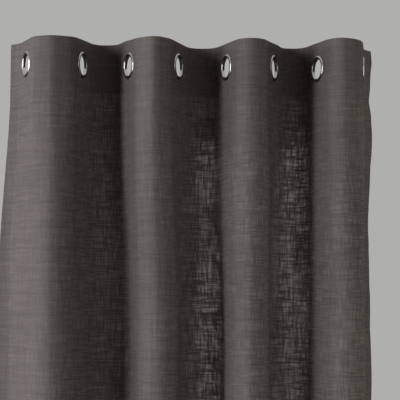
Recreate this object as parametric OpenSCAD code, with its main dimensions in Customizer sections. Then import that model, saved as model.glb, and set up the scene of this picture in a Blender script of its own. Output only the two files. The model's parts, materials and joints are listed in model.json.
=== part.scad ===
// Eyelet curtain panel, hung in even pleats on a rod that runs along X.
// The room side faces -Y, +Z is up, and the origin is the centre of eyelet 1, at the fixed end.
// The one cloth is cut at its fold lines into pleats, so that the pleats can fold on each other.

/* [Cloth] */
// Width of the panel laid flat, side edge to side edge
flat_w = 1400; // [1390:1:1420]
// Finished length, top edge to bottom edge
drop = 2500; // [1600:10:3000]
// Thickness of one layer of cloth
cloth_t = 1; // [0.6:0.1:1.2]
// Depth of the turned hem at the bottom edge
bottom_hem_h = 80; // [40:5:120]
// Width of the turned hems at the two side edges
side_hem_w = 25; // [15:1:30]

/* [Header] */
// Height of the stiffened band at the top
header_h = 100; // [90:1:120]
// Height of the top edge above the eyelets' centres
top_margin = 50; // [40:1:60]
// Thickness of the stiffening tape inside the header
tape_t = 0.6; // [0.4:0.1:1]

/* [Eyelets] */
// Inside diameter of an eyelet
eyelet_bore = 40; // [36:1:40]
// Outside diameter of an eyelet
eyelet_od = 54; // [50:1:54]
// Height of the front half's domed flange above the cloth
front_dome = 2.4; // [1.5:0.1:3]
// Height of the back half's domed flange behind the cloth
back_dome = 2.2; // [1.5:0.1:3]
// Wall of the barrel that passes through the cloth
barrel_wall = 1.4; // [1:0.1:1.6]

/* [Hanging] */
// Distance from one eyelet to the next along the flat cloth
pitch = 180; // [178:1:182]
// Average distance from one eyelet to the next along the rod
spacing = 98; // [97:1:99]
// Angle between the cloth and the rod at most eyelets
crossing = 70; // [69:1:70]

/* [Label] */
// Width of the care label
label_w = 30; // [15:1:35]
// Height of the care label
label_h = 45; // [20:1:60]

/* [Hidden] */

eyelets = 8;
// How much each fold is wider or narrower than the average, from eyelet 1 to eyelet 8
spacing_change = [16, -4, 3, 0, -1, -8, -4];
// How much each eyelet is turned from the usual crossing angle
crossing_change = [0, 1.6, -1.6, -1.6, 1.6, -1.6, 1.6, 10];

edge_w = (flat_w - (eyelets - 1) * pitch) / 2; // from an end eyelet's centre to the side edge
flap_flat = 30;   // flat stretch of the end flap beside its eyelet
flap_r = 60;      // radius of the end flap's outward curl
fold_gap = 1;     // from a fold line to each pleat's edge
turned_gap = 2;   // the same for the turned layers, which stand further from the fold line
slit = 0.2;       // between the plates that make up one pleat's cloth
arc_step = 10;    // degrees between the points of a curved stretch
edge_clear = 1.5; // cloth past the flange of an end eyelet, in one piece with its side flap
hinge_gap = 1.2;  // between that cloth and the next pleat, which turns about the end eyelet

// Offsets of the layers' surfaces from the cloth's middle, towards the back.
layer_gap = 0.3;                         // air between one layer and the next
cloth_face = cloth_t / 2;
tape_front = cloth_face + layer_gap;
tape_back = tape_front + tape_t;
facing_front = tape_back + layer_gap;
facing_back = facing_front + cloth_t;
hem_front = cloth_face + layer_gap;
hem_back = hem_front + cloth_t;
label_front = hem_back + layer_gap;
label_back = label_front + 0.4;

turn_h = 2;                              // height of the turn over the tape, at the top edge
label_up = 150;                          // from the bottom edge to the label

eyelet_r = eyelet_od / 2;
bore_r = eyelet_bore / 2;
barrel_r = bore_r + barrel_wall;
rim = 0.6;                               // thickness of a flange at its edges
fit_gap = 0.1;                           // between the barrel and the back half
cloth_hole_r = barrel_r + 0.3;
barrel_end = facing_back + 1;            // the barrel ends this far behind the cloth's middle
ring_fn = 96;

z_top = top_margin;
z_bottom = top_margin - drop;
z_header = top_margin - header_h;

cloth_colour = [0.33, 0.31, 0.29];
turned_colour = [0.29, 0.27, 0.25];
tape_colour = [0.85, 0.84, 0.8];
metal_colour = [0.75, 0.75, 0.77];
label_colour = [0.93, 0.93, 0.9];

// ---- Where the eyelets and the fold lines are ----

// Eyelet k counts from 1; fold k lies between eyelets k and k + 1.
function tilt(k) = crossing + crossing_change[k - 1];
function gap_after(k) = spacing + spacing_change[k - 1];
function eyelet_x(k) = k < 2 ? 0 : eyelet_x(k - 1) + gap_after(k - 1);
// Odd eyelets lead to a fold on the room side (-1), even ones to a fold at the back (+1).
function side_of(k) = k % 2 == 1 ? -1 : 1;

function rad(angle) = angle * PI / 180;
function deg(angle) = angle * 180 / PI;

// Depth of a fold that takes up one pitch of cloth: a flat stretch, then an arc that ends along X.
function fold_arc(t, half) =
    (half - pitch / 2 * cos(t)) / (sin(t) - rad(t) * cos(t));
function fold_depth(k) =
    let (t = (tilt(k) + tilt(k + 1)) / 2, r = fold_arc(t, gap_after(k) / 2))
        (pitch / 2 - r * rad(t)) * sin(t) + r * (1 - cos(t));

// [flat length, arc radius] of the cloth that leaves an eyelet at angle t for a fold line
// that lies half across and depth out from the eyelet.
function flat_and_arc(t, half, depth) = [
    depth * sin(t) / (1 - cos(t)) - half,
    (half * sin(t) - depth * cos(t)) / (1 - cos(t))
];

// The same for one side of eyelet k: right is true or false. The two end flaps curl outwards.
function side_shape(k, right) =
    right && k == eyelets || !right && k == 1
        ? [flap_flat, flap_r]
        : let (fold = right ? k : k - 1)
            flat_and_arc(tilt(k), gap_after(fold) / 2, fold_depth(fold));

// Length of cloth from eyelet k to its fold line or side edge.
function side_length(k, right) =
    right && k == eyelets || !right && k == 1
        ? edge_w
        : let (shape = side_shape(k, right)) shape[0] + shape[1] * rad(tilt(k));

// ---- The line of the cloth, seen from above ----

// u is the distance along the cloth from eyelet k, positive to the right.
// line_at gives [x, y, heading], where heading is the cloth's direction from left to right.
function line_at(k, u) =
    let (
        shape = side_shape(k, u >= 0),
        v = abs(u),
        t = tilt(k),
        turned = v > shape[0] ? deg((v - shape[0]) / shape[1]) : 0,
        flat = min(v, shape[0]),
        out = flat * cos(t) + shape[1] * (sin(t) - sin(t - turned)),
        across = flat * sin(t) + shape[1] * (cos(t - turned) - cos(t)),
        way = u >= 0 ? 1 : -1
    )
    [eyelet_x(k) + way * out, way * side_of(k) * across, side_of(k) * (t - turned)];

// The point beside the line, offset towards the back of the cloth.
function beside(k, u, offset) =
    let (p = line_at(k, u)) [p[0] - offset * sin(p[2]), p[1] + offset * cos(p[2])];

// The places along the line where an outline needs a point, from u1 to u2.
function stops(k, u1, u2) =
    let (
        left = side_shape(k, false),
        right = side_shape(k, true),
        left_step = left[1] * rad(arc_step),
        right_step = right[1] * rad(arc_step),
        inner = concat(
            [for (i = [ceil(180 / arc_step):-1:0]) -left[0] - i * left_step],
            [for (i = [0:ceil(180 / arc_step)]) right[0] + i * right_step]
        )
    )
    concat([u1], [for (u = inner) if (u > u1 + slit && u < u2 - slit) u], [u2]);

// A sheet that follows the line of eyelet k's cloth from u1 to u2, between two offsets.
module sheet(k, u1, u2, front, back, z1, z2) {
    places = stops(k, u1, u2);
    translate([0, 0, z1])
        linear_extrude(z2 - z1)
            polygon(concat(
                [for (u = places) beside(k, u, front)],
                [for (i = [len(places) - 1:-1:0]) beside(k, places[i], back)]
            ));
}

// Puts its children at eyelet k, with their Z axis out of the cloth's front.
module at_eyelet(k) {
    translate([eyelet_x(k), 0, 0])
        rotate([90, 0, side_of(k) * tilt(k)])
            children();
}

// The hole that eyelet k's barrel passes through.
module eyelet_hole(k) {
    at_eyelet(k)
        translate([0, 0, -10])
            cylinder(r = cloth_hole_r, h = 20, $fn = ring_fn);
}

// ---- Pleats ----

// Pleat 0 is the fixed end: the left flap and the cloth at eyelet 1. Pleat 1 runs from there to
// the first fold line, and pleat k runs from fold line k - 1 past eyelet k to fold line k.
// Pleat 8 runs from the last fold line to the leading end, pleat 9: the cloth at eyelet 8 and
// the right flap.
last_pleat = eyelets + 1;
inner_reach = eyelet_r + edge_clear;
function pleat_eyelet(p) = min(max(p, 1), eyelets);
function has_eyelet(p) = p != 1 && p != eyelets;
function pleat_start(p, gap) =
    p == 0 ? -edge_w
    : p == 1 ? inner_reach + hinge_gap
    : p == last_pleat ? -inner_reach
    : -side_length(p, false) + gap;
function pleat_end(p, gap) =
    p == 0 ? inner_reach
    : p == eyelets ? -inner_reach - hinge_gap
    : p == last_pleat ? edge_w
    : side_length(pleat_eyelet(p), true) - gap;

// The cloth of a pleat: a flat plate at its eyelet, and the curved stretches in halves.
module cloth(p) {
    k = pleat_eyelet(p);
    from = pleat_start(p, fold_gap);
    to = pleat_end(p, fold_gap);
    left_flat = -side_shape(k, false)[0];
    right_flat = side_shape(k, true)[0];
    cuts = [
        for (u = [from, (from + left_flat) / 2, left_flat, right_flat, (right_flat + to) / 2, to])
            if (u >= from && u <= to) u
    ];
    edges = cuts[0] == from ? cuts : concat([from], cuts);
    marks = edges[len(edges) - 1] == to ? edges : concat(edges, [to]);
    color(cloth_colour)
        difference() {
            for (i = [0:len(marks) - 2])
                if (marks[i + 1] - marks[i] > 2 * slit)
                    sheet(
                        k,
                        marks[i] + (i == 0 ? 0 : slit / 2),
                        marks[i + 1] - (i == len(marks) - 2 ? 0 : slit / 2),
                        -cloth_face, cloth_face, z_bottom, z_top
                    );
            if (has_eyelet(p)) eyelet_hole(k);
        }
}

// The stiffening tape inside the header of a pleat.
module header_tape(p) {
    k = pleat_eyelet(p);
    color(tape_colour)
        difference() {
            sheet(
                k, pleat_start(p, turned_gap), pleat_end(p, turned_gap),
                tape_front, tape_back, z_header, z_top - turn_h - layer_gap
            );
            if (has_eyelet(p)) eyelet_hole(k);
        }
}

// The cloth turned over the tape: a layer behind it, joined to the face along the top edge.
module header_facing(p) {
    k = pleat_eyelet(p);
    from = pleat_start(p, turned_gap);
    to = pleat_end(p, turned_gap);
    color(turned_colour)
        difference() {
            union() {
                sheet(k, from, to, facing_front, facing_back, z_header, z_top);
                sheet(k, from, to, tape_front, facing_back, z_top - turn_h, z_top);
            }
            if (has_eyelet(p)) eyelet_hole(k);
        }
}

// The layer of cloth turned up at the bottom edge of a pleat.
module bottom_hem(p) {
    color(turned_colour)
        sheet(
            pleat_eyelet(p), pleat_start(p, turned_gap), pleat_end(p, turned_gap),
            hem_front, hem_back, z_bottom, z_bottom + bottom_hem_h
        );
}

// A side edge's turned layer, between the header and the bottom hem.
module side_hem(k, from) {
    color(turned_colour)
        sheet(
            k, from, from + side_hem_w,
            hem_front, hem_back, z_bottom + bottom_hem_h, z_header
        );
}

// The care label, sewn flat on the left side hem.
module care_label() {
    from = -edge_w + side_hem_w / 2 - label_w / 2;
    inset = max(0, label_w - side_hem_w) / 2 + 0.5;
    color(label_colour)
        sheet(
            1, from + inset, from + label_w - inset,
            label_front, label_back, z_bottom + label_up, z_bottom + label_up + label_h
        );
}

// ---- Eyelets ----

// Half the cross-section of a domed flange: rim thick at its two edges, where it stands on the
// line at level, and height thick at its crown.
module flange_section(level, height) {
    half = (eyelet_r - bore_r) / 2;
    rise = height - rim;
    r = (half * half + rise * rise) / (2 * rise);
    intersection() {
        translate([bore_r + half, level + height - r]) circle(r, $fn = 96);
        translate([bore_r, level]) square([2 * half, height + 1]);
    }
}

// The front half: a domed flange on the face of the cloth, and the barrel through it.
module eyelet_front(k) {
    color(metal_colour)
        at_eyelet(k)
            rotate_extrude($fn = ring_fn)
                union() {
                    flange_section(cloth_face, front_dome);
                    translate([bore_r, -barrel_end])
                        square([barrel_wall, barrel_end + cloth_face + rim / 2]);
                }
}

// The back half: a domed ring that snaps over the barrel and clamps the cloth.
module eyelet_back(k) {
    color(metal_colour)
        at_eyelet(k)
            rotate_extrude($fn = ring_fn)
                difference() {
                    mirror([0, 1]) flange_section(facing_back, back_dome);
                    translate([0, -facing_back - back_dome - 1])
                        square([barrel_r + fit_gap, back_dome + 2]);
                }
}

// ---- Assembly ----

for (p = [0:last_pleat]) {
    cloth(p);
    header_tape(p);
    header_facing(p);
    bottom_hem(p);
}
for (k = [1:eyelets]) {
    eyelet_front(k);
    eyelet_back(k);
}
side_hem(1, -edge_w);  // side_hem_left
side_hem(eyelets, edge_w - side_hem_w);  // side_hem_right
care_label();
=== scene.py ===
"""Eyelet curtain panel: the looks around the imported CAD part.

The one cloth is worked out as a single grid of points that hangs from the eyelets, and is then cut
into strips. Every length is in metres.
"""
import json
import math

import bpy
import numpy as np
from mathutils import Matrix, Vector


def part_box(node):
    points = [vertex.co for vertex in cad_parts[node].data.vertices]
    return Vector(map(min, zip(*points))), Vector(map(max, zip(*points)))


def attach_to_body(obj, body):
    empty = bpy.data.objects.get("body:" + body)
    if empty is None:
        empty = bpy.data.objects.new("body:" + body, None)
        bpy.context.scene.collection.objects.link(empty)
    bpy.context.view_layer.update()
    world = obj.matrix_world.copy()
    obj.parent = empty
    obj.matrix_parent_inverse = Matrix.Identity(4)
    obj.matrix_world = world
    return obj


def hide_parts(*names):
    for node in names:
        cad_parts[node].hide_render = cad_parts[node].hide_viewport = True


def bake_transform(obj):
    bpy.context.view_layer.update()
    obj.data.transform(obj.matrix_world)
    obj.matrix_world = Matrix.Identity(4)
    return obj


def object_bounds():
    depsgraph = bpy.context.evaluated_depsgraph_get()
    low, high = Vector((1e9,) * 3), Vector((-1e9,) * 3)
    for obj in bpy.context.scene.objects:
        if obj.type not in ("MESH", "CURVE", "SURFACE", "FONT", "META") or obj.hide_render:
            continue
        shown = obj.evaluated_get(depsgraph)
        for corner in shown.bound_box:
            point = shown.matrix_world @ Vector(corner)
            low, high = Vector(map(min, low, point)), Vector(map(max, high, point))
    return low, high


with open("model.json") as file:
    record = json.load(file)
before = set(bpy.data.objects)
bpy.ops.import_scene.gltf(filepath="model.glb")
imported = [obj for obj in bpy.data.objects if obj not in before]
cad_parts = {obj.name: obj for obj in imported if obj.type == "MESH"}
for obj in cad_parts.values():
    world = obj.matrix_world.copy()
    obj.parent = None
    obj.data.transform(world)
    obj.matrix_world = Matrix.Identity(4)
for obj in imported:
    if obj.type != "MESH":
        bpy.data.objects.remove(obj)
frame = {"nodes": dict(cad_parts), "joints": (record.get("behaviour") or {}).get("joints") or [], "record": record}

CAD_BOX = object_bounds()

# ---------------------------------------------------------------- what the CAD part says
RECORD = frame["record"]
BORES = [m for m in RECORD["mounts"] if m["kind"] == "bore"]
JOINTS = {j["name"]: j for j in frame["joints"]}
FOLDS = [JOINTS[f"fold_{k}"]["pos_m"] for k in range(1, len(BORES))]

RING_X = np.array([m["pos_m"][0] for m in BORES])
RING_TILT = np.array([math.atan2(abs(m["axis"][0]), abs(m["axis"][1])) for m in BORES])
RINGS = len(BORES)
FOLD_X = np.array([f[0] for f in FOLDS])
SIDE = np.array([-1 if k % 2 == 0 else 1 for k in range(RINGS)])   # -1: leads to a room-side fold

TOP, BOTTOM = CAD_BOX[1].z, CAD_BOX[0].z
HEADER_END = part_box("header_facing_3")[0].z
HEM_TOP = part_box("bottom_hem_3")[1].z

# ---------------------------------------------------------------- sizes of the real thing
PITCH = 0.18              # from eyelet to eyelet along the cloth
EDGE = 0.07               # from an end eyelet's centre to the side edge
FLAP_FLAT = 0.03          # flat stretch of an end flap beside its eyelet
FLAP_RADIUS = 0.06        # radius of an end flap's outward curl
THICK = 0.001             # one layer of cloth
TAPE_THICK = 0.0006
TAPE_AT = 0.0011          # middle of each layer, behind the middle of the cloth
FACING_AT = 0.0022
HEM_AT = 0.0013
SIDE_HEM = 0.025
HOLE = 0.0222             # radius of the hole under an eyelet's flange
HEADER_STITCH = HEADER_END + 0.004
HEM_STITCH = HEM_TOP - 0.004
STITCH_PITCH = 0.004
STITCH_SHARE = 0.40       # half a stitch's length, as a share of the pitch
THREAD_RADIUS = 0.00030
LABEL_THICK = 0.0004
LABEL_INSET = 0.001       # from the label's edges to the side hem's edges
SEAM_INSET = 0.003        # from a side edge to the first stitch, and from a side hem's edge to its seam
TURN_STEPS = 8            # steps round a turned edge
TINY = 1e-6


# ---------------------------------------------------------------- small helpers
def smooth(x):
    """0 below 0, 1 above 1, and an even curve between."""
    x = np.clip(x, 0, 1)
    return x * x * (3 - 2 * x)


FIELD_SIZE = 64           # points of the noise table each way, before it repeats


def field(a, b, seed):
    """Smooth noise from -1 to 1 at the points (a, b), one bump to a unit."""
    rng = np.random.default_rng(seed)
    table = rng.uniform(-1, 1, (FIELD_SIZE, FIELD_SIZE))
    a, b = np.broadcast_arrays(np.asarray(a, float), np.asarray(b, float))
    ia, ib = np.floor(a).astype(int), np.floor(b).astype(int)
    fa, fb = a - ia, b - ib
    fa, fb = fa**3 * (fa * (6 * fa - 15) + 10), fb**3 * (fb * (6 * fb - 15) + 10)

    def corner(i, j):
        return table[(ia + i) % FIELD_SIZE, (ib + j) % FIELD_SIZE]
    near = corner(0, 0) * (1 - fa) + corner(1, 0) * fa
    far = corner(0, 1) * (1 - fa) + corner(1, 1) * fa
    return near * (1 - fb) + far * fb


def through(places, values, at):
    """Value at each place of `at`, easing from one given value to the next."""
    at = np.asarray(at, float)
    i = np.clip(np.searchsorted(places, at, side="right") - 1, 0, len(places) - 2)
    w = smooth((at - places[i]) / (places[i + 1] - places[i]))
    return values[..., i] * (1 - w) + values[..., i + 1] * w


# ---------------------------------------------------------------- the cloth seen from above, at the eyelets
# How sharp the left and right half of each fold is, from fold line 1: above 0 a tighter apex with
# straighter sides, below 0 a rounder one.
HEADER_SHARP = [(0.5, 0.5), (-0.4, -0.4), (1.1, 1.1), (-0.5, -0.5), (0.1, 0.1), (-0.4, -0.4), (0.5, -0.5)]
HANGING_SHARP = [1.0, -0.15, 0.4, -0.6, 0.45, 0.0, 0.45]
STIFF = 0.028             # stretch beside an eyelet's centre that its flange holds flat
HALF = PITCH / 2
FINE = 181                # points in the table of one half wave
DIP_LIMIT = 1.5           # radians that a half wave's heading may dip by, to reach its fold line
DIP_HALVINGS = 40         # steps of the search for that dip


def swing(phase, sharp):
    """Share of the full turn at each place of a quarter wave: 1 at an eyelet, 0 at a fold line."""
    c = np.cos(phase)
    return c * (1 + sharp * (1 - c * c))


def running(values, step):
    """Running total of the values, as distances along a line of even steps."""
    return np.concatenate([[0], np.cumsum((values[1:] + values[:-1]) / 2)]) * step


def half_wave(tilt, half, sharp):
    """Distances out and across from an eyelet, along the half wave to the fold line `half` away."""
    v = np.linspace(0, HALF, FINE)
    w = np.clip((v - STIFF) / (HALF - STIFF), 0, 1) * math.pi / 2
    low, high = -DIP_LIMIT, DIP_LIMIT
    for _ in range(DIP_HALVINGS):
        dip = (low + high) / 2
        heading = tilt * swing(w, sharp) - dip * np.sin(2 * w) ** 2
        if np.cos(heading).mean() * HALF < half:
            low = dip
        else:
            high = dip
    step = v[1]
    return running(np.cos(heading), step), running(np.sin(heading), step)


def flap_line(tilt):
    """The same for an end flap: flat beside its eyelet, then curling outwards."""
    v = np.linspace(0, EDGE, FINE)
    heading = tilt - np.maximum(v - FLAP_FLAT, 0) / FLAP_RADIUS
    return running(np.cos(heading), v[1]), running(np.sin(heading), v[1])


def header_tables():
    """For the left and the right of each eyelet: distances out and across, at even steps."""
    sides = {-1: [], 1: []}
    for k in range(RINGS):
        for way in (-1, 1):
            fold = k if way > 0 else k - 1
            if 0 <= fold < RINGS - 1:
                half = abs(FOLD_X[fold] - RING_X[k])
                sides[way].append(half_wave(RING_TILT[k], half, HEADER_SHARP[fold][way < 0]))
            else:
                sides[way].append(flap_line(RING_TILT[k]))
    for fold in range(RINGS - 1):     # both sides of a fold line meet at one depth
        right, left = sides[1][fold][1], sides[-1][fold + 1][1]
        ease = smooth((np.linspace(0, HALF, FINE) - STIFF) / (HALF - STIFF))
        gap = (right[-1] - left[-1]) / 2
        right -= gap * ease
        left += gap * ease
    return sides


HEADER_TABLES = header_tables()


def header_line(k, u):
    """Points of the cloth's line at distances u from eyelet k, as the rigid eyelets hold it."""
    way = 1 if u[len(u) // 2] > 0 else -1
    out, across = HEADER_TABLES[way][k]
    span = EDGE if (k == 0 and way < 0) or (k == RINGS - 1 and way > 0) else HALF
    v = np.linspace(0, span, FINE)
    return (RING_X[k] + way * np.interp(np.abs(u), v, out),
            way * SIDE[k] * np.interp(np.abs(u), v, across))


# ---------------------------------------------------------------- the grid
NEAR = np.array([0, 0.008, 0.016, 0.020, 0.025, 0.030, 0.036])   # from an eyelet's centre, both ways
C_HOLE, C_OUT = NEAR[2], NEAR[-1]     # the square that becomes the hole, and the square left as it is
COLUMN_STEP = 0.0045      # between the columns away from the eyelets
ROW_STEP = 0.018          # between the rows from the header to the hem


def side_places(length):
    """Distances of the columns from an eyelet out to that length: close together near the eyelet."""
    n = round((length - C_OUT) / COLUMN_STEP)
    return np.concatenate([NEAR, C_OUT + (length - C_OUT) * np.arange(1, n + 1) / n])


def make_columns():
    """Eyelet number, distance from it and distance along the flat cloth, for every column."""
    ring, dist, flat = [], [], []
    for k in range(RINGS):
        for way in (-1, 1):
            at_end = (k == 0 and way < 0) or (k == RINGS - 1 and way > 0)
            places = side_places(EDGE if at_end else HALF)
            if way < 0:
                places = places[::-1] if k == 0 else places[:-1][::-1]
            else:
                places = places[1:]
            ring += [k] * len(places)
            dist += list(way * places)
            flat += list(k * PITCH + way * places)
    return np.array(ring), np.array(dist), np.array(flat)


RING_OF, FROM_RING, FLAT_S = make_columns()


def make_rows():
    """Heights of the rows, from the top edge down, closer at the eyelets, the stitches and the hem."""
    top = [TOP - (FACING_AT + THICK) / 2, 0.046, 0.041]
    near = list(NEAR[::-1]) + list(-NEAR[1:])
    stitch = [-0.040, HEADER_STITCH + 0.002, HEADER_STITCH, HEADER_STITCH - 0.002, HEADER_END,
              -0.054, -0.059, -0.066, -0.075, -0.086]
    body_start, body_end = -0.1, HEM_TOP + 0.012
    n = round((body_start - body_end) / ROW_STEP)
    body = list(np.linspace(body_start, body_end, n + 1))
    hem = [HEM_TOP + 0.006, HEM_TOP, HEM_STITCH + 0.002, HEM_STITCH, HEM_STITCH - 0.002, HEM_STITCH - 0.007]
    low = list(np.linspace(HEM_STITCH - 0.016, BOTTOM + 0.006, 6)) + [BOTTOM + (HEM_AT + THICK) / 2]
    return np.array(top + near + stitch + body + hem + low)


ROW_Z = make_rows()
N_ROWS, N_COLS = len(ROW_Z), len(FLAT_S)


def round_holes(u, z):
    """Moves the grid near each eyelet so that its inner square becomes the round hole."""
    c = np.maximum(np.abs(u), np.abs(z))
    near = (c < C_OUT) & (c > 0)
    cs, ray = np.where(near, c, 1), np.where(near, np.hypot(u, z), 1)
    t = (cs - C_HOLE) / (C_OUT - C_HOLE)
    scale = np.where(near, HOLE / ray * (1 - t) + C_OUT / cs * t, 1)
    return u * scale, z * scale


# The top edge is sewn a little unevenly: how much taller the header is at places along the flat cloth.
RISE_S = np.array([-0.07, 0.11, 0.23, 0.32, 0.44, 0.85, 0.95, 1.04, 1.15, 1.25, 1.33])
RISE = 0.001 * np.array([0, 0, 3.6, 4.6, 0, 0, 3.8, 4.8, 4.4, 0, 0])

U, Z = round_holes(*np.meshgrid(FROM_RING, ROW_Z))
S = FLAT_S[None, :] + (U - FROM_RING[None, :])
Z = Z + through(RISE_S, RISE, S) * smooth((Z - NEAR[-1]) / (TOP - NEAR[-1]))
HOLES = np.maximum(
    np.abs((FROM_RING[:-1] + FROM_RING[1:]) / 2)[None, :] + (np.diff(RING_OF) != 0)[None, :],
    np.abs((ROW_Z[:-1] + ROW_Z[1:]) / 2)[:, None],
) < C_HOLE

# ---------------------------------------------------------------- how the folds hang below the header
# Sideways drift of each fold line down the drop: one row to a fold line, one column to a height.
DRIFT_Z = np.array([BOTTOM, -1.85, -1.2, -0.6, -0.2, 0.06])
DRIFT = 0.001 * np.array([
    [-9, -4, 4, 6, 3, 0],
    [-6, 3, 12, 18, 3, 0],
    [4, 12, 15, 17, 5, 0],
    [-2, 8, 6, 3, -10, 0],
    [12, 8, 3, 3, 1, 0],
    [2, -6, -10, -10, -10, 0],
    [-8, -5, 4, 9, 8, 0],
])
# The same for the left and the right side edge.
EDGE_Z = np.array([BOTTOM, -1.6, -0.9, -0.62, -0.5, -0.4, -0.3, -0.2, 0.06])
EDGE_DRIFT = 0.001 * np.array([
    [-8, -6, -2, -1, 0, 0, 0, 0, 0],
    [-2, 3, 3, 4.2, 2.6, 1.6, 0.4, 2, 0],
])
# How far the leading flap's edge stands forward of its even curl.
SWAY_Z = np.array([-0.26, -0.20, -0.165, -0.13, -0.09, -0.055, -0.025, 0.0, 0.022, 0.06])
FLAP_SWAY = 0.001 * np.array([0, 1, 4, 5, 2, -3, 0, 1, 4, 1])


LINE_POINTS = 1401        # points along the whole hanging cloth
QUARTER_POINTS = 60       # points of a quarter wave in the search for its swing
SWING_LIMIT = 2.4         # radians that a heading may swing by
SWING_HALVINGS = 24       # steps of that search


def hanging_line(z):
    """The cloth's line at each height of z, once the header no longer holds it: one wave to a fold."""
    fine = np.linspace(-EDGE, (RINGS - 1) * PITCH + EDGE, LINE_POINTS)
    fold_x = FOLD_X[:, None] + np.array([through(DRIFT_Z, row, z) for row in DRIFT])
    ends = np.array([through(EDGE_Z, row, z) for row in EDGE_DRIFT])
    drift = fold_x - FOLD_X[:, None]
    ring_x = RING_X[:, None] + np.vstack([ends[:1], (drift[:-1] + drift[1:]) / 2, ends[1:]])
    stations, goal = [], []
    for k in range(RINGS):
        stations.append(k * PITCH)
        goal.append(ring_x[k])
        if k < RINGS - 1:
            stations.append((k + 0.5) * PITCH)
            goal.append(fold_x[k])
    stations, goal = np.array(stations), np.array(goal)
    # The swing of the heading at each half wave sets how far it reaches along the rod.
    share = np.diff(goal, axis=0) / HALF
    quarter = np.linspace(0, math.pi / 2, QUARTER_POINTS)
    shape = np.array([swing(quarter, b) for b in np.repeat(HANGING_SHARP, 2)])
    low, high = np.zeros(share.shape), np.full(share.shape, SWING_LIMIT)
    for _ in range(SWING_HALVINGS):
        wanted = (low + high) / 2
        far = np.cos(wanted[..., None] * shape[:, None, :]).mean(2) > share
        low, high = np.where(far, wanted, low), np.where(far, high, wanted)
    middles = (stations[:-1] + stations[1:]) / 2
    gap_of = np.floor(fine / PITCH).astype(int)
    inner = (gap_of >= 0) & (gap_of < RINGS - 1)
    sharp = np.where(inner, np.array(HANGING_SHARP)[np.clip(gap_of, 0, RINGS - 2)], 0)
    flap_side = np.where(fine > PITCH, SIDE[-1], SIDE[0]) * -1.0
    wave = np.where(inner, swing(math.pi * fine / PITCH, sharp), flap_side)
    past = np.maximum(np.maximum(-fine, fine - stations[-1]) - FLAP_FLAT, 0) / FLAP_RADIUS
    x, y = np.zeros((len(z), len(fine))), np.zeros((len(z), len(fine)))
    for i in range(len(z)):
        turn_by = through(middles, wanted[:, i], np.clip(fine, middles[0], middles[-1])) - past
        heading = -turn_by * wave
        x[i], y[i] = running(np.cos(heading), fine[1] - fine[0]), running(np.sin(heading), fine[1] - fine[0])
        inside = np.clip(fine, 0, stations[-1])
        x[i] += through(stations, goal[:, i] - np.interp(stations, fine, x[i]), inside)
        y[i] -= through(stations[::2], np.interp(stations[::2], fine, y[i]), inside)
    return fine, x, y


# Ripples of the cloth: depth, size along, size down and seed. The edge ones run down the edge.
LONG_RIPPLE = (0.0013, 0.060, 0.80, 11)
NARROW_RIPPLE = (0.0006, 0.026, 0.50, 12)
SHORT_RIPPLE = (0.00025, 0.035, 0.06, 13)
HEADER_RIPPLE = (0.0003, 0.02, 0.03, 14)
STITCH_PUCKER = (0.00030, 0.0085, 0.05, 15)
EDGE_PUCKER = (0.0007, 0.022, 0.2, 16)
EDGE_WAVE = (0.002, 0.16, 0.3, 17)
GROOVES = ((HEADER_STITCH, 0.00028), (HEM_STITCH, 0.0003))    # height and depth of each
GROOVE_HALF, PUCKER_REACH = 0.0014, 0.012
EDGE_REACH = 0.03         # how far in from a side edge its own shape reaches
EDGE_FULL = 0.004         # stretch beside a side edge where that shape is at its full depth
# Where each of these sets in, and how far it takes to reach its full depth.
RIPPLES_DOWN = (-0.06, 0.35)
EDGE_DOWN = (-0.05, 0.05)
HEADER_UP = (-0.12, 0.05)
OFF_FLANGE = (0.031, 0.02)    # from an eyelet's centre


def ripple(kind, a, b):
    """Depth of one kind of ripple at the places (a, b)."""
    depth, size_a, size_b, seed = kind
    return depth * field(a / size_a, b / size_b, seed)


def relief(s, z, u):
    """How far the cloth stands behind its line: soft ripples, puckers and stitch grooves."""
    down = smooth((RIPPLES_DOWN[0] - z) / RIPPLES_DOWN[1])
    out = down * (ripple(LONG_RIPPLE, s, z) + ripple(NARROW_RIPPLE, s, z) + ripple(SHORT_RIPPLE, s, z))
    off_flange = smooth((np.hypot(u, np.clip(z, -1, 1)) - OFF_FLANGE[0]) / OFF_FLANGE[1])
    up = smooth((z - HEADER_UP[0]) / HEADER_UP[1])
    out += off_flange * ripple(HEADER_RIPPLE, s, z) * up
    for line, depth in GROOVES:
        gap = np.abs(z - line)
        out += depth * np.exp(-(gap / GROOVE_HALF) ** 2)
        out += np.exp(-gap / PUCKER_REACH) * ripple(STITCH_PUCKER, s, z)
    right_edge = (RINGS - 1) * PITCH + EDGE
    edge = np.minimum(s + EDGE, right_edge - s)
    side = np.exp(-(np.maximum(edge - EDGE_FULL, 0) / EDGE_REACH) ** 2)
    side = side * smooth((EDGE_DOWN[0] - z) / EDGE_DOWN[1])
    out += side * (ripple(EDGE_PUCKER, z, s) + ripple(EDGE_WAVE, z, s))
    leading = np.exp(-(np.maximum(right_edge - s, 0) / EDGE_REACH) ** 2)
    return out - leading * through(SWAY_Z, FLAP_SWAY, np.clip(z, SWAY_Z[0], SWAY_Z[-1]))


FREE_BELOW = -0.05        # height where the cloth starts to leave the header's line
FREE_BLEND = (-0.055, 0.33)   # height where the change starts, and how far down it takes


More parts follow.
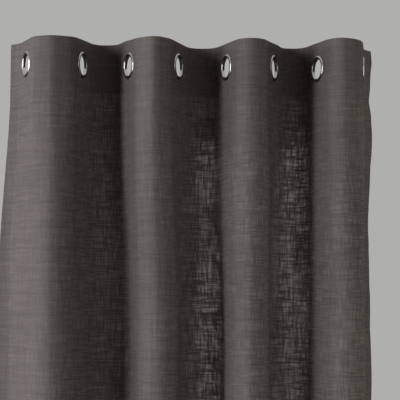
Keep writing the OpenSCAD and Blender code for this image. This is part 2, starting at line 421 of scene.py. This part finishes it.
def build_surface():
    """Middle of the cloth at every grid point, and its unit normal towards the back."""
    hx, hy = np.zeros(U.shape), np.zeros(U.shape)
    for k in range(RINGS):
        for cols in (np.flatnonzero((RING_OF == k) & (FROM_RING <= 0)),
                     np.flatnonzero((RING_OF == k) & (FROM_RING >= 0))):
            for i in range(N_ROWS):
                hx[i, cols], hy[i, cols] = header_line(k, U[i, cols])
    free = ROW_Z < FREE_BELOW
    fine, lx, ly = hanging_line(ROW_Z[free])
    blend = smooth((FREE_BLEND[0] - ROW_Z[free]) / FREE_BLEND[1])[:, None]
    for rows, low in ((hx, lx), (hy, ly)):
        low = np.array([np.interp(FLAT_S, fine, r) for r in low])
        rows[free] = rows[free] * (1 - blend) + low * blend
    mid = np.stack([hx, hy, Z], 2)
    normal = normals(mid)
    return mid + normal * relief(S, Z, U)[..., None]


def normals(mid):
    """Unit normals of a grid of points, towards the back."""
    along, down = np.gradient(mid, axis=1), np.gradient(mid, axis=0)
    n = np.cross(along, down)
    return n / np.maximum(np.linalg.norm(n, axis=2, keepdims=True), 1e-12)


MID = build_surface()
NORMAL = normals(MID)


# ---------------------------------------------------------------- meshes
def shell(name, mid, normal, thick, cloth_at, keep, material):
    """A closed sheet of that thickness round a grid of points. keep says which squares are there."""
    rows, cols = mid.shape[:2]
    front, back = mid - normal * thick / 2, mid + normal * thick / 2
    index = np.arange(rows * cols).reshape(rows, cols)
    shift = rows * cols
    a, b, c, d = index[:-1, :-1], index[:-1, 1:], index[1:, 1:], index[1:, :-1]
    quads = [np.stack([a, d, c, b], 2)[keep], np.stack([a, b, c, d], 2)[keep] + shift]
    padded = np.pad(keep, 1)
    rims = (
        (a, b, keep & ~padded[:-2, 1:-1]), (c, d, keep & ~padded[2:, 1:-1]),
        (d, a, keep & ~padded[1:-1, :-2]), (b, c, keep & ~padded[1:-1, 2:]),
    )
    for p, q, mask in rims:
        p, q = p[mask], q[mask]
        quads.append(np.stack([p, q, q + shift, p + shift], 1))
    faces = np.concatenate([q.reshape(-1, 4) for q in quads])
    used, faces = np.unique(faces, return_inverse=True)
    points = np.concatenate([front.reshape(-1, 3), back.reshape(-1, 3)])[used]
    places = np.concatenate([cloth_at.reshape(-1, 3)] * 2)[used]
    return mesh_piece(name, points, faces.reshape(-1, 4), places, material)


def mesh_piece(name, points, faces, places, material, sharp=50):
    """An object with that mesh. places are its points on the flat cloth, which the weave follows."""
    mesh = bpy.data.meshes.new(name)
    mesh.from_pydata(points.tolist(), [], [list(f) for f in faces])
    mesh.polygons.foreach_set("use_smooth", np.ones(len(mesh.polygons), bool))
    attribute = mesh.attributes.new("cloth_at", "FLOAT_VECTOR", "POINT")
    attribute.data.foreach_set("vector", places.astype(np.float32).ravel())
    mesh.set_sharp_from_angle(angle=math.radians(sharp))
    mesh.materials.append(material)
    mesh.update()
    piece = bpy.data.objects.new(name, mesh)
    bpy.context.scene.collection.objects.link(piece)
    return piece


# ---------------------------------------------------------------- materials
class Nodes:
    """Adds nodes to one material with little writing."""

    def __init__(self, name):
        self.material = bpy.data.materials.new(name)
        self.material.use_nodes = True
        self.tree = self.material.node_tree
        self.tree.nodes.clear()

    def add(self, kind, inputs=None, **settings):
        node = self.tree.nodes.new("ShaderNode" + kind)
        for key, value in settings.items():
            setattr(node, key, value)
        for key, value in (inputs or {}).items():
            socket = node.inputs[key]
            if isinstance(value, bpy.types.NodeSocket):
                self.tree.links.new(value, socket)
            else:
                socket.default_value = value
        return node

    def math(self, operation, a, b=0.0, clamp=False):
        return self.add("Math", {0: a, 1: b}, operation=operation, use_clamp=clamp).outputs[0]

    def noise(self, vector, detail=2.0, rough=0.5, scale=1.0):
        return self.add("TexNoise", {"Vector": vector, "Scale": scale, "Detail": detail,
                                     "Roughness": rough}).outputs["Fac"]

    def stretch(self, vector, x, y, z=1.0, shift=0.0):
        return self.add("Mapping", {"Vector": vector, "Scale": (x, y, z),
                                    "Location": (shift, shift, shift)}).outputs[0]

    def span(self, value, low, high, to_low=0.0, to_high=1.0):
        return self.add("MapRange", {"Value": value, "From Min": low, "From Max": high,
                                     "To Min": to_low, "To Max": to_high}).outputs[0]

    def mix(self, factor, a, b):
        node = self.add("Mix", {0: factor, 6: a, 7: b}, data_type="RGBA")
        return node.outputs[2]

    def surface(self, shader):
        self.add("OutputMaterial", {"Surface": shader})
        return self.material


WEAVE_PITCH = 0.0016      # two threads of the fine weave


def cloth_material(name, dark, light, see_through):
    """Plain slub linen: uneven yarns both ways, a fine weave, and light that comes through the gaps."""
    n = Nodes(name)
    at = n.add("Attribute", attribute_name="cloth_at").outputs["Vector"]

    def grain(along, down, shift=0.0, detail=2, rough=0.5):
        """Noise of so many bumps to a metre along and down the cloth."""
        return n.noise(n.stretch(at, along, down, shift=shift), detail, rough)

    def total(*terms):
        """Sum of (value, weight) pairs."""
        parts = [n.math("MULTIPLY", value, weight) for value, weight in terms]
        whole = parts[0]
        for part in parts[1:]:
            whole = n.math("ADD", whole, part)
        return whole

    # yarns that run down (warp) and along (weft), thick and thin along their length
    warp, weft = grain(520, 14), grain(14, 520, 7.3)
    warp_wide, weft_wide = grain(130, 4, 3.1, 3), grain(4, 130, 5.7, 3)
    cloud = grain(9, 3, 1.9, 3)
    shade = total((warp, 0.45), (weft, 0.60), (warp_wide, 0.34), (weft_wide, 0.26), (cloud, 0.22))
    colour = n.mix(n.span(shade, 0.52, 1.35), dark, light)
    # the weave itself: two sine yarns that pass over and under each other
    x, y = (n.add("SeparateXYZ", {0: at}).outputs[i] for i in (0, 1))
    turns = 2 * math.pi / WEAVE_PITCH
    across = n.math("SINE", n.math("MULTIPLY", x, turns))
    along = n.math("SINE", n.math("MULTIPLY", y, turns))
    over = n.math("MULTIPLY", across, along)
    height = total((over, 0.22), (warp, 0.8), (weft, 0.8))
    bump = n.add("Bump", {"Strength": 0.55, "Distance": 0.0004, "Height": height}).outputs[0]
    # thin places between slubs, where light shines through
    gaps = n.math("MULTIPLY", n.span(grain(400, 30, 2.2, 3, 0.55), 0.36, 0.64),
                  n.span(grain(30, 400, 8.4, 3, 0.55), 0.36, 0.64))
    thin = n.math("ADD", gaps, n.math("MULTIPLY", n.span(cloud, 0.35, 0.65), 0.15))
    shine = n.mix(n.span(thin, 0.04, 0.74), (0.16, 0.149, 0.142, 1), (0.94, 0.885, 0.85, 1))
    body = n.add("BsdfPrincipled", {"Base Color": colour, "Roughness": 0.92, "Normal": bump,
                                    "Specular IOR Level": 0.18, "Sheen Weight": 0.22,
                                    "Sheen Roughness": 0.55, "Sheen Tint": (0.75, 0.73, 0.72, 1)})
    glow = n.add("BsdfTranslucent", {"Color": shine, "Normal": bump})
    return n.surface(n.add("MixShader", {0: see_through, 1: body.outputs[0], 2: glow.outputs[0]}).outputs[0])


def plain_cloth(name, dark, light, across, down, rough=0.85):
    """Thread, tape and label: a simple two-way grain."""
    n = Nodes(name)
    at = n.add("Attribute", attribute_name="cloth_at").outputs["Vector"]
    grain = n.math("ADD", n.math("MULTIPLY", n.noise(n.stretch(at, across, down), 3), 0.5),
                   n.math("MULTIPLY", n.noise(n.stretch(at, down, across, shift=4.0), 3), 0.5))
    bump = n.add("Bump", {"Strength": 0.5, "Distance": 0.0003, "Height": grain}).outputs[0]
    body = n.add("BsdfPrincipled", {"Base Color": n.mix(n.span(grain, 0.35, 0.65), dark, light),
                                    "Roughness": rough, "Normal": bump, "Specular IOR Level": 0.3,
                                    "Sheen Weight": 0.15, "Sheen Roughness": 0.5})
    return n.surface(body.outputs[0])


def metal_material():
    """Polished nickel plate with faint turning marks, hairline scratches and a little dulling."""
    n = Nodes("polished_nickel")
    at = n.add("TexCoord").outputs["Object"]
    marks = n.noise(n.stretch(at, 900, 900, 140), 2)      # scales per metre
    dull = n.noise(n.stretch(at, 60, 60, 60), 4, 0.6)
    scratch = n.span(n.noise(n.stretch(at, 2600, 300, 300, shift=1.0), 1), 0.62, 0.68)
    rough = n.math("ADD", n.span(dull, 0.3, 0.7, 0.14, 0.28), n.math("MULTIPLY", scratch, 0.12))
    bump = n.add("Bump", {"Strength": 0.12, "Distance": 0.0001, "Height": marks}).outputs[0]
    colour = n.mix(n.span(dull, 0.3, 0.7), (0.55, 0.535, 0.52, 1), (0.43, 0.415, 0.40, 1))
    body = n.add("BsdfPrincipled", {"Base Color": colour, "Metallic": 1.0, "Roughness": rough,
                                    "Normal": bump})
    return n.surface(body.outputs[0])


SEE_THROUGH = 0.32        # share of the light that the open weave lets through one face
CLOTH = cloth_material("slub_linen", (0.120, 0.106, 0.099, 1), (0.328, 0.299, 0.285, 1), SEE_THROUGH)
# the turned layers use a slightly darker copy of the same linen: painted shade for the layers folded behind the
# cloth at the header, the hem and the side edges
SHADED_TURNED_LINEN = cloth_material("slub_linen_turned_painted_shade", (0.115, 0.1015, 0.095, 1), (0.308, 0.282, 0.268, 1), SEE_THROUGH)
THREAD = plain_cloth("sewing_thread", (0.07, 0.062, 0.056, 1), (0.17, 0.155, 0.145, 1), 2600, 500)
TAPE = plain_cloth("stiffening_tape", (0.55, 0.53, 0.49, 1), (0.78, 0.76, 0.71, 1), 420, 300)
LABEL = plain_cloth("label_satin", (0.72, 0.71, 0.67, 1), (0.86, 0.85, 0.81, 1), 2400, 160, 0.5)
METAL = metal_material()

for node_name, node in frame["nodes"].items():
    if node_name.startswith("eyelet_"):
        node.data.materials.clear()
        node.data.materials.append(METAL)
        node.data.polygons.foreach_set("use_smooth", np.ones(len(node.data.polygons), bool))
        node.data.set_sharp_from_angle(angle=math.radians(40))

# ---------------------------------------------------------------- cutting the cloth into strips
CUT = 0.060               # cut this far inside the two end eyelets, where their own turning ends
ring_column = [int(np.flatnonzero((RING_OF == k) & (FROM_RING == 0))[0]) for k in range(RINGS)]
first_cut = int(np.argmin(np.abs(FLAT_S - CUT)))
last_cut = int(np.argmin(np.abs(FLAT_S - ((RINGS - 1) * PITCH - CUT))))
STRIP_ENDS = [0, first_cut] + ring_column[1:-1] + [last_cut, N_COLS - 1]
STRIPS = len(STRIP_ENDS) - 1


def attach(piece, strip, slot, *nodes):
    """Bakes a piece's placement into its mesh, and hides the CAD nodes that it stands for."""
    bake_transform(piece)
    if nodes:
        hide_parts(*nodes)
    return piece


def nodes_of(kind, strip):
    """The CAD nodes that a strip of that kind stands for."""
    return [f"{kind}_{strip}"] + ([f"{kind}_{strip + 1}"] if strip == STRIPS - 1 else [])


def cloth_places(s, z, depth=0.0):
    """Points on the flat cloth: distance along, height, and depth of the layer."""
    return np.stack([s, z, np.full(s.shape, depth)], 2)


def layer(name, strip, rows, offset, thick, material, extra_top=(), extra_bottom=(), holes=False):
    """A strip of one layer. extra_top and extra_bottom are turned edges: (offset, level) of each row."""
    cols = slice(STRIP_ENDS[strip], STRIP_ENDS[strip + 1] + 1)
    mid, normal = MID[rows, cols], NORMAL[rows, cols]
    s, z = S[rows, cols], Z[rows, cols]
    grid = [mid + normal * offset]
    for extra, row, before in ((extra_top, 0, True), (extra_bottom, -1, False)):
        if len(extra):
            added = []
            for off, level in extra:
                line = mid[row] + normal[row] * off
                line[:, 2] = level + mid[row][:, 2] - ROW_Z[rows][row]
                added.append(line)
            grid = [np.array(added)] + grid if before else grid + [np.array(added)]
            more = np.array([[level] * s.shape[1] for _, level in extra])
            edge = np.repeat(s[row][None, :], len(extra), 0)
            s, z = (np.vstack([edge, s]), np.vstack([more, z])) if before else (
                np.vstack([s, edge]), np.vstack([z, more]))
    grid = np.concatenate(grid)
    keep = np.ones((grid.shape[0] - 1, grid.shape[1] - 1), bool)
    if holes:
        inner = ~HOLES[rows.start:rows.stop - 1, cols.start:cols.stop - 1]
        start = len(extra_top)
        keep[start:start + inner.shape[0]] = inner
    # the whole cloth's normals, so that neighbouring strips meet at their edges
    full = normals(grid)
    full[len(extra_top):len(extra_top) + mid.shape[0]] = normal
    return shell(name, grid, full, thick, cloth_places(s, z, offset), keep, material)


HEADER_ROWS = slice(0, int(np.flatnonzero(ROW_Z >= HEADER_END - TINY)[-1]) + 1)
HEM_ROWS = slice(int(np.flatnonzero(ROW_Z <= HEM_TOP + TINY)[0]), N_ROWS)


def turn(edge, far, way):
    """A turned edge: half a circle of (offset, level), from the cloth's middle to the layer behind."""
    angles = np.linspace(0, math.pi, TURN_STEPS + 1)
    level = edge - way * (far + THICK) / 2
    return [(far / 2 * (1 - math.cos(a)), level + way * far / 2 * math.sin(a)) for a in angles]


# ---------------------------------------------------------------- side hems, label and stitches
def at_cloth(s, z):
    """Middle of the cloth, its normal, and its direction along the rod, at any places below the eyelets."""
    col = np.clip(np.interp(s, FLAT_S, np.arange(N_COLS)), 0, N_COLS - 1.001)
    row = np.clip(np.interp(-z, -ROW_Z, np.arange(N_ROWS)), 0, N_ROWS - 1.001)
    i, j = row.astype(int), col.astype(int)
    a, b = (row - i)[..., None], (col - j)[..., None]

    def pick(grid):
        return ((grid[i, j] * (1 - b) + grid[i, j + 1] * b) * (1 - a)
                + (grid[i + 1, j] * (1 - b) + grid[i + 1, j + 1] * b) * a)
    along = MID[i, j + 1] - MID[i, j]
    return pick(MID), pick(NORMAL), along / np.linalg.norm(along, axis=-1, keepdims=True)


def side_hem(name, right):
    """A side edge's turn and the layer that it leaves behind the cloth."""
    edge = N_COLS - 1 if right else 0
    out = 1 if right else -1
    far = np.where(ROW_Z > HEADER_END - TINY, FACING_AT, HEM_AT)[:, None]
    angles = np.linspace(0, math.pi, TURN_STEPS)
    inner = np.linspace(0, SIDE_HEM, TURN_STEPS + 1)[1:]
    tangent = MID[:, edge] - MID[:, edge - out]
    tangent /= np.linalg.norm(tangent, axis=1, keepdims=True)
    base, normal = MID[:, edge, None], NORMAL[:, edge, None]
    offset, reach = far / 2 * (1 - np.cos(angles)), far / 2 * np.sin(angles)
    turned = base + normal * offset[..., None] + tangent[:, None] * reach[..., None]
    s_edge = FLAT_S[edge]
    s = np.broadcast_to(s_edge - out * inner, (N_ROWS, len(inner)))
    z = np.broadcast_to(ROW_Z[:, None], s.shape)
    mid, lay, _ = at_cloth(s, z)
    mid = mid + lay * far[..., None]
    grid = np.concatenate([turned, mid], 1)
    keep = np.ones((N_ROWS - 1, grid.shape[1] - 1), bool)
    body = (ROW_Z[:-1] < HEADER_END - 0.001) & (ROW_Z[:-1] > HEM_TOP + 0.001)
    keep[~body, len(angles) - 1:] = False
    along = np.concatenate([np.zeros(len(angles)), inner])
    places = cloth_places(np.broadcast_to(s_edge + out * along, grid.shape[:2]),
                          np.broadcast_to(ROW_Z[:, None], grid.shape[:2]))
    piece = shell(name + "_turn", grid, normals(grid), THICK, places, keep, SHADED_TURNED_LINEN)
    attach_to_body(piece, "leading_end" if right else "fixed_end")
    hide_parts(name)
    return piece


def stitches(name, at, out, along):
    """A run of stitches: at and out are each stitch's place and the way it stands out of the cloth."""
    half, radius, sides = STITCH_PITCH * STITCH_SHARE, THREAD_RADIUS, 4
    across = np.cross(out, along)
    stations = ((-0.72, 0.55), (0.0, 1.0), (0.72, 0.55))     # place along and size of each ring of points
    points = [at - along * half - out * radius]
    for place, size in stations:
        for c in range(sides):
            angle = 2 * math.pi * (c + 0.5) / sides
            points.append(at + along * half * place + out * radius * (size - 0.7)
                          + (across * math.cos(angle) + out * math.sin(angle)) * radius * size)
    points.append(at + along * half - out * radius)
    points = np.stack(points, 1)
    last = points.shape[1] - 1
    faces = []
    for c in range(sides):
        d = (c + 1) % sides
        faces.append((0, 1 + c, 1 + d, 1 + d))
        for ring in range(len(stations) - 1):
            a, b = 1 + ring * sides, 1 + (ring + 1) * sides
            faces.append((a + c, b + c, b + d, a + d))
        a = 1 + (len(stations) - 1) * sides
        faces.append((a + c, last, last, a + d))
    count = len(at)
    faces = (np.array(faces)[None] + (np.arange(count) * (last + 1))[:, None, None]).reshape(-1, 4)
    faces = [tuple(dict.fromkeys(f)) for f in faces.tolist()]
    places = points.reshape(-1, 3)
    return mesh_piece(name, places, faces, places, THREAD)


def stitch_run(s, z, layer_at, down):
    """Places, outward ways and directions for stitches through the cloth and the layer behind it."""
    mid, normal, along = at_cloth(s, z)
    if down:
        along = np.broadcast_to([0.0, 0.0, -1.0], mid.shape)
    at = np.concatenate([mid - normal * THICK / 2, mid + normal * (layer_at + THICK / 2)])
    return at, np.concatenate([-normal, normal]), np.concatenate([along, along])


def stitch_piece(name, runs):
    """One piece of thread for several runs of stitches."""
    at, out, along = (np.concatenate(x) for x in zip(*runs))
    return stitches(name, at, out, along)


def care_label():
    """A blank satin tag: sewn at its top edge on the side hem, its lower end a little lifted."""
    low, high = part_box("care_label")
    wide = np.linspace(FLAT_S[0] + LABEL_INSET, FLAT_S[0] + SIDE_HEM - LABEL_INSET, 13)
    tall = np.linspace(high.z, low.z, 19)
    s, z = np.meshgrid(wide, tall)
    mid, normal, _ = at_cloth(s, z)
    drop = (high.z - z) / (high.z - low.z)    # 0 where it is sewn, 1 at its lower end
    bow = 0.0011 * smooth(drop) + 0.0005 * np.sin(drop * 5 + (s - wide[0]) * 90) * drop
    grid = mid + normal * (HEM_AT + THICK / 2 + LABEL_THICK + bow)[..., None]
    keep = np.ones((len(tall) - 1, len(wide) - 1), bool)
    piece = shell("care_label_tag", grid, normals(grid), LABEL_THICK, cloth_places(s, z), keep, LABEL)
    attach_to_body(piece, "fixed_end")
    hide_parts("care_label")
    return piece


# ---------------------------------------------------------------- the pieces
seam_s = np.arange(FLAT_S[0] + SEAM_INSET, FLAT_S[-1] - STITCH_PITCH / 2, STITCH_PITCH)
for i in range(STRIPS):
    number = i + 1
    panel = layer(f"panel_{number}", i, slice(0, N_ROWS), 0.0, THICK, CLOTH, holes=True)
    attach(panel, i, "cloth", *nodes_of("cloth", i))
    facing = layer(f"facing_{number}", i, HEADER_ROWS, FACING_AT, THICK, SHADED_TURNED_LINEN,
                   extra_top=turn(TOP, FACING_AT, 1)[:-1], holes=True)
    attach(facing, i, "turned_cloth", *nodes_of("header_facing", i))
    tape = layer(f"tape_{number}", i, slice(1, HEADER_ROWS.stop - 1), TAPE_AT, TAPE_THICK, TAPE, holes=True)
    attach(tape, i, "header_tape", *nodes_of("header_tape", i))
    hem = layer(f"hem_{number}", i, HEM_ROWS, HEM_AT, THICK, SHADED_TURNED_LINEN,
                extra_bottom=turn(BOTTOM, HEM_AT, -1)[::-1][1:])
    attach(hem, i, "turned_cloth", *nodes_of("bottom_hem", i))
    mine = seam_s[(seam_s >= FLAT_S[STRIP_ENDS[i]]) & (seam_s < FLAT_S[STRIP_ENDS[i + 1]])]
    sewn = stitch_piece(f"stitches_{number}", [
        stitch_run(mine, np.full(len(mine), HEADER_STITCH), FACING_AT, False),
        stitch_run(mine, np.full(len(mine), HEM_STITCH), HEM_AT, False)])
    attach(sewn, i, "cloth")

for name, right in (("side_hem_left", False), ("side_hem_right", True)):
    side_hem(name, right)
    line = FLAT_S[-1] - SIDE_HEM + SEAM_INSET if right else FLAT_S[0] + SIDE_HEM - SEAM_INSET
    seam_z = np.arange(HEADER_END - STITCH_PITCH, HEM_TOP + SEAM_INSET, -STITCH_PITCH)
    sewn = stitch_piece(name + "_stitches", [stitch_run(np.full(len(seam_z), line), seam_z, HEM_AT, True)])
    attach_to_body(sewn, "leading_end" if right else "fixed_end")
care_label()

# ---------------------------------------------------------------- camera, light and floor
CAMERA_AT = Vector((0.206, -3.0, -0.487))
CAMERA_YAW, CAMERA_PITCH, CAMERA_ROLL = (math.radians(a) for a in (2.85, 4.10, 0.5))
CAMERA_LENS, SENSOR = 133.7, 36.0


def make_camera():
    forward = Vector((math.sin(CAMERA_YAW) * math.cos(CAMERA_PITCH),
                      math.cos(CAMERA_YAW) * math.cos(CAMERA_PITCH), math.sin(CAMERA_PITCH)))
    right = Vector((math.cos(CAMERA_YAW), -math.sin(CAMERA_YAW), 0))
    up = right.cross(forward)
    c, s = math.cos(CAMERA_ROLL), math.sin(CAMERA_ROLL)
    side, top = right * c + up * s, up * c - right * s
    data = bpy.data.cameras.new("camera")
    data.lens, data.sensor_width = CAMERA_LENS, SENSOR
    camera = bpy.data.objects.new("camera", data)
    camera.matrix_world = Matrix((
        (side.x, top.x, -forward.x, CAMERA_AT.x), (side.y, top.y, -forward.y, CAMERA_AT.y),
        (side.z, top.z, -forward.z, CAMERA_AT.z), (0, 0, 0, 1)))
    bpy.context.scene.collection.objects.link(camera)
    bpy.context.scene.camera = camera


def area_light(name, at, towards, size, power, colour):
    data = bpy.data.lights.new(name, "AREA")
    data.shape, data.size, data.size_y = "RECTANGLE", size[0], size[1]
    data.energy, data.color = power, colour
    light = bpy.data.objects.new(name, data)
    light.location = at
    light.rotation_mode = "QUATERNION"
    light.rotation_quaternion = (Vector(towards) - Vector(at)).to_track_quat("-Z", "Y")
    light.visible_camera = False
    bpy.context.scene.collection.objects.link(light)
    return light


def make_world(backdrop, ambient):
    """An even backdrop for the camera; for the object a dim light, and in reflections a paler ceiling."""
    world = bpy.data.worlds.new("studio")
    bpy.context.scene.world = world
    world.use_nodes = True
    tree = world.node_tree
    tree.nodes.clear()
    path = tree.nodes.new("ShaderNodeLightPath")
    out = tree.nodes.new("ShaderNodeOutputWorld")
    around = tree.nodes.new("ShaderNodeTexCoord")
    height = tree.nodes.new("ShaderNodeSeparateXYZ")
    sky = tree.nodes.new("ShaderNodeMapRange")
    sky.inputs["From Min"].default_value, sky.inputs["From Max"].default_value = -0.1, 0.7
    sky.inputs["To Min"].default_value, sky.inputs["To Max"].default_value = 0.03, 0.7
    tree.links.new(around.outputs["Generated"], height.inputs[0])
    tree.links.new(height.outputs["Z"], sky.inputs["Value"])
    lights = [tree.nodes.new("ShaderNodeBackground") for _ in range(3)]
    for light, colour in zip(lights, (ambient, (1, 1, 1), backdrop)):
        light.inputs["Color"].default_value = (*colour, 1)
    tree.links.new(sky.outputs[0], lights[1].inputs["Strength"])
    shown = lights[0].outputs[0]
    for light, kind in ((lights[1], "Is Glossy Ray"), (lights[2], "Is Camera Ray")):
        both = tree.nodes.new("ShaderNodeMixShader")
        tree.links.new(path.outputs[kind], both.inputs[0])
        tree.links.new(shown, both.inputs[1])
        tree.links.new(light.outputs[0], both.inputs[2])
        shown = both.outputs[0]
    tree.links.new(shown, out.inputs[0])


def make_floor():
    n = Nodes("pale_floor")
    body = n.add("BsdfPrincipled", {"Base Color": (0.40, 0.393, 0.383, 1), "Roughness": 0.8,
                                    "Specular IOR Level": 0.2,
                                    "Emission Color": (1.0, 0.99, 0.97, 1), "Emission Strength": 0.38})
    material = n.surface(body.outputs[0])
    radius, level, corners = 30.0, BOTTOM - 0.02, 64
    mesh = bpy.data.meshes.new("floor")
    turns = [2 * math.pi * k / corners for k in range(corners)]
    rim = [(radius * math.cos(a), radius * math.sin(a), level) for a in turns]
    mesh.from_pydata(rim, [], [range(corners)])
    mesh.materials.append(material)
    floor = bpy.data.objects.new("floor", mesh)
    floor.visible_diffuse = floor.visible_glossy = False    # its own paleness doesn't light the cloth
    bpy.context.scene.collection.objects.link(floor)


LIT_CENTRE = Vector((RING_X.mean(), 0, -0.45))
# Soft lights round the curtain: azimuth (0 is straight in front, below 0 is to the left), distance,
# height, size, power and colour.
SOFT_LIGHTS = {
    "key_side": (-85, 3.5, 0.2, (0.7, 2.6), 46, (1.0, 0.98, 1.02)),
    "key_wide": (-68, 3.5, 0.2, (1.8, 2.6), 27, (1.0, 0.99, 1.0)),
    "key_front": (-55, 3.5, 0.3, (0.7, 2.6), 44, (1.0, 1.0, 0.99)),
    "right_bounce": (82, 3.5, 0.0, (0.8, 2.6), 22, (1.05, 1.0, 0.93)),
    "front_fill": (30, 4.2, 0.2, (3.0, 2.5), 19, (1.07, 1.0, 0.92)),
    "back_fill": (178, 3.5, 0.4, (3.0, 2.5), 9, (1.0, 1.0, 1.0)),
}
# Daylight close behind the cloth: place along the rod, distance behind, width, power to a metre of
# width, and spread in degrees.
PANES = {
    "window": (0.552, 0.22, 0.330, 2.7, 80),
    "pane_left": (0.381, 0.11, 0.054, 8.6, 45),
    "pane_right": (0.560, 0.11, 0.052, 6.9, 45),
}
PANE_MIDDLE, PANE_HEIGHT = -1.285, 2.27
DAYLIGHT = (1.0, 1.0, 0.98)


def make_lights():
    for name, (azimuth, distance, height, size, power, colour) in SOFT_LIGHTS.items():
        a = math.radians(azimuth)
        at = LIT_CENTRE + Vector((math.sin(a) * distance, -math.cos(a) * distance, height))
        area_light(name, at, LIT_CENTRE, size, power, colour)
    for name, (x, y, width, power, spread) in PANES.items():
        pane = area_light(name, (x, y, PANE_MIDDLE), (x, 0, PANE_MIDDLE), (width, PANE_HEIGHT),
                          power * width, DAYLIGHT)
        pane.data.spread = math.radians(spread)


make_camera()
make_lights()
make_world((0.43, 0.43, 0.42), (0.055, 0.045, 0.040))
make_floor()
bpy.context.scene.view_settings.view_transform = "Standard"
